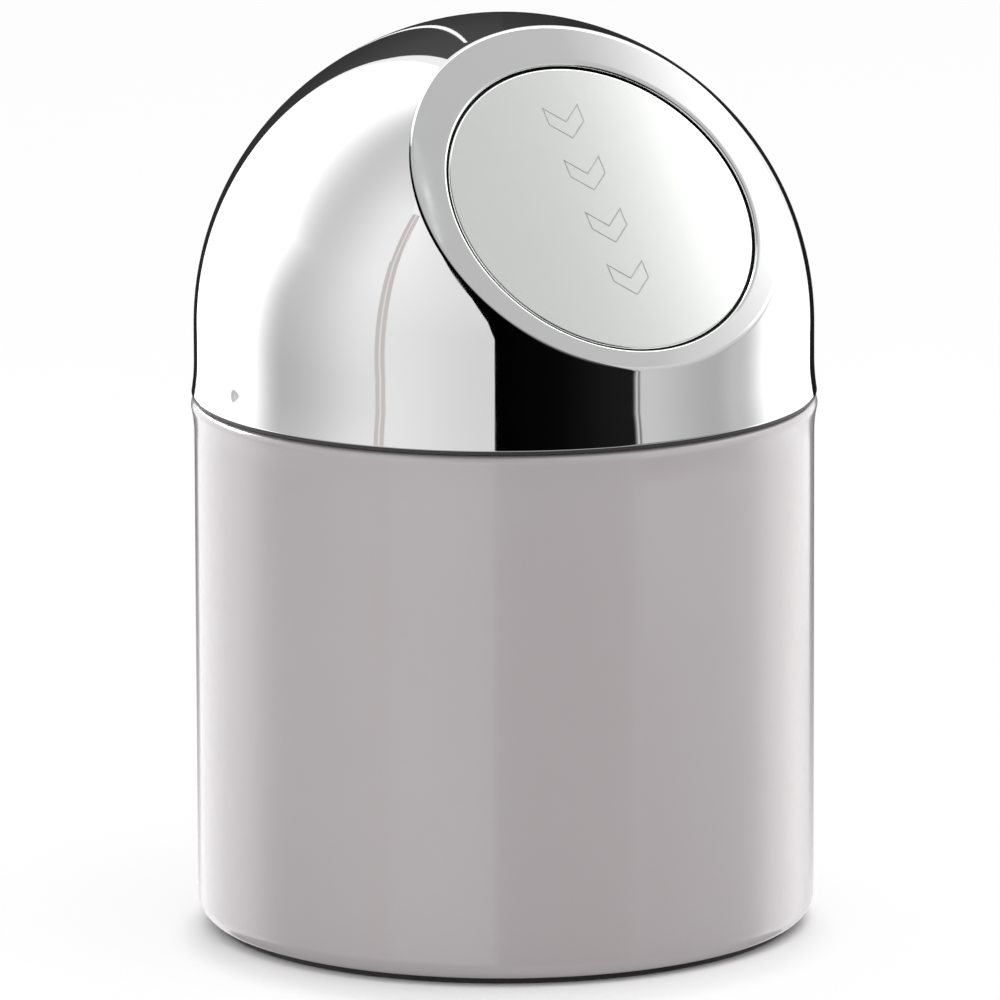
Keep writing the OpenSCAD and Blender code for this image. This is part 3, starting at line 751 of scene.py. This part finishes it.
paint_links.new(share.outputs[0], paint_mix.inputs[0])
paint_links.new(paint_nodes["Principled BSDF"].outputs[0], paint_mix.inputs[1])
paint_links.new(own_white.outputs[0], paint_mix.inputs[2])
paint_links.new(paint_mix.outputs[0], paint_nodes["Material Output"].inputs["Surface"])
print("floor white from", SHADOW_TO, "round", [round(c, 4) for c in shadow_middle])

# %% World
LIGHT_LEVEL = 0.8
world = bpy.data.worlds.new("studio")
bpy.context.scene.world = world
world.use_nodes = True
sky, sky_links = world.node_tree.nodes, world.node_tree.links
light = sky["Background"]
light.inputs["Color"].default_value = (1, 1, 1, 1)
light.inputs["Strength"].default_value = LIGHT_LEVEL
shown = sky.new("ShaderNodeBackground")
shown.inputs["Color"].default_value = (1, 1, 1, 1)
shown.inputs["Strength"].default_value = 1.0
path = sky.new("ShaderNodeLightPath")
first_sum = sky.new("ShaderNodeMath")
second_sum = sky.new("ShaderNodeMath")
second_sum.use_clamp = True
sky_links.new(path.outputs["Is Camera Ray"], first_sum.inputs[0])
sky_links.new(path.outputs["Is Glossy Ray"], first_sum.inputs[1])
sky_links.new(first_sum.outputs[0], second_sum.inputs[0])
sky_links.new(path.outputs["Is Transmission Ray"], second_sum.inputs[1])
choice = sky.new("ShaderNodeMixShader")
sky_links.new(second_sum.outputs[0], choice.inputs[0])
sky_links.new(light.outputs[0], choice.inputs[1])
sky_links.new(shown.outputs[0], choice.inputs[2])
sky_links.new(choice.outputs[0], sky["World Output"].inputs["Surface"])
print("world gives light of", LIGHT_LEVEL, "and shows as white")

# %% Lamp
LAMP_WIDTH = 1.2
LAMP_WATTS = 9.0
LAMP_PLACE = (0.25, -0.35, 1.5)
lamp_data = bpy.data.lights.new("softbox", "AREA")
lamp_data.shape = "DISK"
lamp_data.size = LAMP_WIDTH
lamp_data.energy = LAMP_WATTS
lamp = bpy.data.objects.new("softbox", lamp_data)
bpy.context.scene.collection.objects.link(lamp)
lamp.location = LAMP_PLACE
lamp.rotation_euler = (-Vector(lamp.location)).to_track_quat("-Z", "Y").to_euler()
lamp.visible_glossy = False
bpy.context.scene.view_settings.view_transform = "Standard"
print("lamp at", LAMP_PLACE)

# %% [markdown]
# ## What the polished steel sees
# A mirror is only as interesting as the room around it. The studio in the photograph is a white tent with
# a dark gap where the camera looks in and grey cloth beside it. Real lamps and cloths would do, but they
# are slow to set and light everything else too. So the tent is laid out as panels on a ball round the
# dome. Each has four corners, given as degrees round to the right of the camera and degrees up, and a
# shade for each corner. Only reflections see them, so they neither light the scene nor stand in the
# picture. A shade is what the steel should show: 1 is white, and more than 1 outshines it. It is turned
# into light by undoing the display's curve and what the steel swallows.

# %% Tent panels
TENT_RADIUS = 0.6
PANEL_STEPS = 24
DISPLAY_GAMMA = 2.2
STEEL_SHARE = 0.86
tent_glow = bpy.data.materials.new("tent_glow")
tent_glow.use_nodes = True
glow_nodes = tent_glow.node_tree.nodes
glow_nodes.remove(glow_nodes["Principled BSDF"])
glow_colour = glow_nodes.new("ShaderNodeAttribute")
glow_colour.attribute_name = "glow"
glow_shader = glow_nodes.new("ShaderNodeEmission")
tent_glow.node_tree.links.new(glow_colour.outputs["Color"], glow_shader.inputs["Color"])
tent_glow.node_tree.links.new(glow_shader.outputs[0], glow_nodes["Material Output"].inputs["Surface"])


def towards(round_degrees, up_degrees):
    """Direction from the dome: degrees to the right of the camera, and degrees above the horizon."""
    a, e = math.radians(round_degrees), math.radians(up_degrees)
    front = Vector((math.sin(CAMERA_TURN), -math.cos(CAMERA_TURN), 0))
    right = Vector((math.cos(CAMERA_TURN), math.sin(CAMERA_TURN), 0))
    return math.cos(e) * (math.cos(a) * front + math.sin(a) * right) + Vector((0, 0, math.sin(e)))


def bilinear(u, v):
    """How much each of four corners counts at u sideways and v upwards."""
    return [(1 - u) * (1 - v), u * (1 - v), u * v, (1 - u) * v]


def panel(name, corners, shades, radius=TENT_RADIUS):
    """Curved panel between four corners (round, up), with a shade for each. Shades ease sideways."""
    steps = PANEL_STEPS
    vertices, glows, faces = [], [], []
    for i in range(steps + 1):
        for j in range(steps + 1):
            u, v = j / steps, i / steps
            turn, rise = [sum(w * c[k] for w, c in zip(bilinear(u, v), corners)) for k in range(2)]
            vertices.append(CENTRE + radius * towards(turn, rise))
            weights = bilinear(0.5 - 0.5 * math.cos(math.pi * u), v)
            glows.append([sum(w * shade[k] for w, shade in zip(weights, shades)) for k in range(3)])
    for i in range(steps):
        for j in range(steps):
            a = i * (steps + 1) + j
            faces.append((a, a + 1, a + steps + 2, a + steps + 1))
    mesh = bpy.data.meshes.new(name)
    mesh.from_pydata(vertices, [], faces)
    glow = mesh.color_attributes.new("glow", "FLOAT_COLOR", "POINT")
    for entry, shade in zip(glow.data, glows):
        entry.color = (*[(c ** DISPLAY_GAMMA) / STEEL_SHARE for c in shade], 1)
    made = bpy.data.objects.new(name, mesh)
    bpy.context.scene.collection.objects.link(made)
    mesh.materials.append(tent_glow)
    made.visible_camera = made.visible_diffuse = made.visible_shadow = False
    made.visible_transmission = made.visible_volume_scatter = False


def cloth(name, heights, rows):
    """Panels joined into one cloth. A row lists (degrees round, shade) pairs, with one height for all
    of them or one for each."""
    spots = []
    for height, row in zip(heights, rows):
        rises = height if isinstance(height, list) else [height] * len(row)
        spots.append([(turn, rise, shade if isinstance(shade, tuple) else (shade,) * 3)
                      for (turn, shade), rise in zip(row, rises)])
    for k, (foot, top) in enumerate(zip(spots, spots[1:])):
        for i in range(len(foot) - 1):
            around = (foot[i], foot[i + 1], top[i + 1], top[i])
            panel(f"{name}_{k}_{i}", [spot[:2] for spot in around], [spot[2] for spot in around])
    print("cloth", name, "has", sum(len(row) - 1 for row in rows[1:]), "panels")


print("tent radius", TENT_RADIUS, "steps to a panel", PANEL_STEPS)

# %% [markdown]
# ### Left of the camera
# The left half of the dome shows white cloth at its edge and a soft grey fold nearer the middle. Beside
# the fold runs a thin pinkish trim, the seam of the cloth. Each height of the cloth says where its white
# ends, where it is darkest and how pale it is where it stops.

# %% Left side of the tent
WHITE = 1.15
BACK_EDGE = -156
GREY = (0.71, 0.72, 0.71)
TRIM = (0.76, 0.73, 0.72)
LEFT_CLOTH = [  # height, white until, darkest at, its shade, ends at, shade there
    (-60, -110, -86, 0.74, -46.2, 0.81),
    (-19, -110, -86, 0.74, -46.2, 0.81),
    (-14, -110, -86, 0.69, -46.2, 0.85),
    (8, -106, -84, 0.745, -46, 0.89),
    (22, -104, -78, 0.785, -46, 0.92),
    (45, -130, -80, 0.775, -45, 0.915),
    (62, -146, -88, 0.77, -54, 0.80),
    (84, -160, -110, 0.77, -75, 0.78),
]
cloth("left", [row[0] for row in LEFT_CLOTH], [
    [(min(BACK_EDGE, start - 10), WHITE), (start, WHITE), (darkest, shade), (end, pale)]
    for _, start, darkest, shade, end, pale in LEFT_CLOTH
])
trim = [(-46.2, TRIM), (-44.7, TRIM), (-44.5, 0.86), (-44.1, 0.86), (-43.9, TRIM), (-42.4, TRIM)]
cloth("trim", [-60, 28, 45], [trim, trim, [(a + 1.5, shade) for a, shade in trim]])

# %% [markdown]
# ### In front, round the camera
# The camera looks in through a gap, and the studio behind it is dark. The gap leans to the left higher
# up. Its right side grows pale there, because someone who stands in front of the bin sees that part of the
# tent in the flap, which would otherwise look black. A narrow bright edge closes the gap on the right.

# %% Front of the tent, with the dark gap that the camera looks in through
DARK, LESS_DARK = 0.03, 0.05
GAP_RIGHT = 46
FRONT_LEFT = -42.4
FRONT_TOP = 45
GAP = [  # height, left edge, dark until, light from, light shade
    (-60, -3.3, 10, 45, 0.12),
    (5, -3.3, 10, 45, 0.12),
    (11, -5.7, 10, 45, 0.20),
    (19, -11.7, 12, 40, 0.30),
    (28, -20.7, 14, 32, 0.47),
    (38, -30, 12, 29, 0.56),
    (FRONT_TOP, -39.5, 8, 27, 0.64),
    (62, -54, -8, 18, 0.68),
    (84, -75, -50, 0, 0.70),
]
cloth("gap", [row[0] for row in GAP], [
    [(left, DARK), (dark_end, LESS_DARK), (light_from, light), (GAP_RIGHT, light)]
    for _, left, dark_end, light_from, light in GAP
])
FRONT_PALE, PALER_UPWARD = 0.87, 0.002
GAP_PALE, GAP_PALER_UPWARD = 0.80, 0.003
front_heights, front_rows = [], []
for height, left, _, _, _ in GAP:
    if height <= FRONT_TOP:
        above = max(height, 0)
        front_heights.append(height)
        front_rows.append([(min(FRONT_LEFT, left), FRONT_PALE + PALER_UPWARD * above),
                           (left, GAP_PALE + GAP_PALER_UPWARD * above)])
cloth("front", front_heights, front_rows)
gap_edge = [(GAP_RIGHT, 0.16), (47, 0.5), (47.6, 0.8), (48.4, 0.45), (49.2, 0.74)]
cloth("gap_edge", [-60, 5], [gap_edge, gap_edge])

# %% [markdown]
# ### Right of the camera
# The facet, with the flap and the ring round it, looks to the right and up, into the top edge of a big
# softbox. Its brightness fades over a few degrees of height there, and its edge slants, which gives the
# flap and the ring their even fall of light from one side to the other. Left of the softbox the cloth is
# duller, and above it hangs grey cloth.

# %% Right side of the tent, with the softbox that the flap and its ring look into
SOFTBOX = 1.5
DULL = 0.80
EDGE_RISE = 0.66
FACET_TURN = 86
RIGHT_TURNS = [49.2, 80, 92, 116, 130]
SOFTBOX_EDGE = [  # height where the facet looks, and the shade there
    (46.8, SOFTBOX), (48.6, 1.06), (50.15, 0.95), (51.35, 0.83), (52.8, 0.735), (58.8, 0.715),
]
low_shades = [0.30, 0.50, 0.60, WHITE, 1.20]
foot_shades = [0.76, 0.665, 0.73, WHITE, WHITE]
middle_shades = [0.76, 0.74, 0.81, WHITE, WHITE]
right_heights = [-60, -19, -14, 5, 15]
right_rows = [low_shades, low_shades, foot_shades, foot_shades, middle_shades]
for height, full in SOFTBOX_EDGE:
    dull = min(full, DULL)
    right_heights.append([height + EDGE_RISE * (turn - FACET_TURN) for turn in RIGHT_TURNS])
    right_rows.append([dull, dull, full, full, full])
cloth("right", right_heights, [list(zip(RIGHT_TURNS, row)) for row in right_rows])
near_right, far_right = RIGHT_TURNS[0], RIGHT_TURNS[-1]
near_top, far_top = right_heights[-1][0], right_heights[-1][-1]
panel("top_cloth", [(GAP_RIGHT, near_top - 2), (far_right, far_top), (far_right, 89), (30, 84)], [GREY] * 4)
panel("gap_side", [(GAP_RIGHT, 5), (near_right, 5), (near_right, near_top), (GAP_RIGHT, near_top - 2)],
      [(0.4,) * 3, (0.76,) * 3, (0.72,) * 3, (0.45,) * 3])
low_back = [(far_right, 1.2), (153, 0.95)]
high_back = [(far_right, WHITE), (153, WHITE)]
cloth("right_back", [-60, -19, -14, 84], [low_back, low_back, high_back, high_back])

# %% [markdown]
# ### Behind the bin
# A dark cloth hangs behind the bin. The dome shows it as the thin dark outline against the white, and as
# the dark cap at the top, with a thin slit of light in it. Towards the floor it fades to pale, because a
# hard edge there would show as a bar in the skirt when the bin is seen from another side.

# %% Dark cloth behind the bin
BEHIND_PALE = 0.95
SLIT_SHADE = 1.0
BEFORE_CLOTH = 0.98 * TENT_RADIUS
cloth("behind_right", [-24, -13.4, -4, 12, 55], [
    [(153, BEHIND_PALE), (180, BEHIND_PALE)], [(153, 0.12), (180, 0.17)], [(155, 0.12), (180, 0.17)],
    [(167, 0.16), (180, 0.22)], [(168, 0.24), (180, 0.27)],
])
cloth("behind_left", [-24, -13.4, 5, 35, 55], [
    [(-180, BEHIND_PALE), (-155, BEHIND_PALE)], [(-180, 0.17), (-155, 0.14)], [(-180, 0.22), (-156, 0.2)],
    [(-180, 0.27), (-158, 0.28)], [(-180, 0.28), (-162, 0.30)],
])
panel("behind_slit", [(-174.6, 0), (-173.6, 0), (-170.9, 44), (-171.7, 44)], [(SLIT_SHADE,) * 3] * 4,
      radius=BEFORE_CLOTH)

# %% [markdown]
# ### The brightest and the highest
# A bright lamp stands high and far round to the left, and gives the curl of the rim its line of light
# there. One cap closes the ball overhead, where the cloths would otherwise meet in a knot. Another lies
# underfoot, in the tone of a floor.

# %% Lamps that only the shine sees
LAMP_SHADE = 2.6
CAPS = [("overhead", 79, 89.9, WHITE), ("underfoot", -89.9, -38, 0.6)]  # name, from, to, shade
BEFORE_ALL = 0.97 * TENT_RADIUS
panel("left_lamp", [(-152, 14), (-110, 14), (-125, 60), (-148, 60)], [(LAMP_SHADE,) * 3] * 4,
      radius=BEFORE_CLOTH)
for quarter in range(4):
    start = -180 + 90 * quarter
    end = start + 90
    for name, low, high, shade in CAPS:
        panel(f"{name}_{quarter}", [(start, low), (end, low), (end, high), (start, high)],
              [(shade,) * 3] * 4, radius=BEFORE_ALL)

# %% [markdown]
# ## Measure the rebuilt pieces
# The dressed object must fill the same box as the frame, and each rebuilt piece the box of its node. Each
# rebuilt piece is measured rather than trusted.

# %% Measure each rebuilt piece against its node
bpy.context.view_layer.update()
for piece, node_name in ((bin_shell, "bin_body"), (dome_shell, "dome"), (flap_skin, "flap_face"),
                         (spring_wire, "return_spring")):
    points = [piece.matrix_world @ v.co for v in piece.data.vertices]
    low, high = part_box(node_name)
    off = [max(abs(min(p[k] for p in points) - low[k]), abs(max(p[k] for p in points) - high[k]))
           for k in range(3)]
    print(piece.name, "differs from its node by", [round(1000 * value, 3) for value in off], "mm")
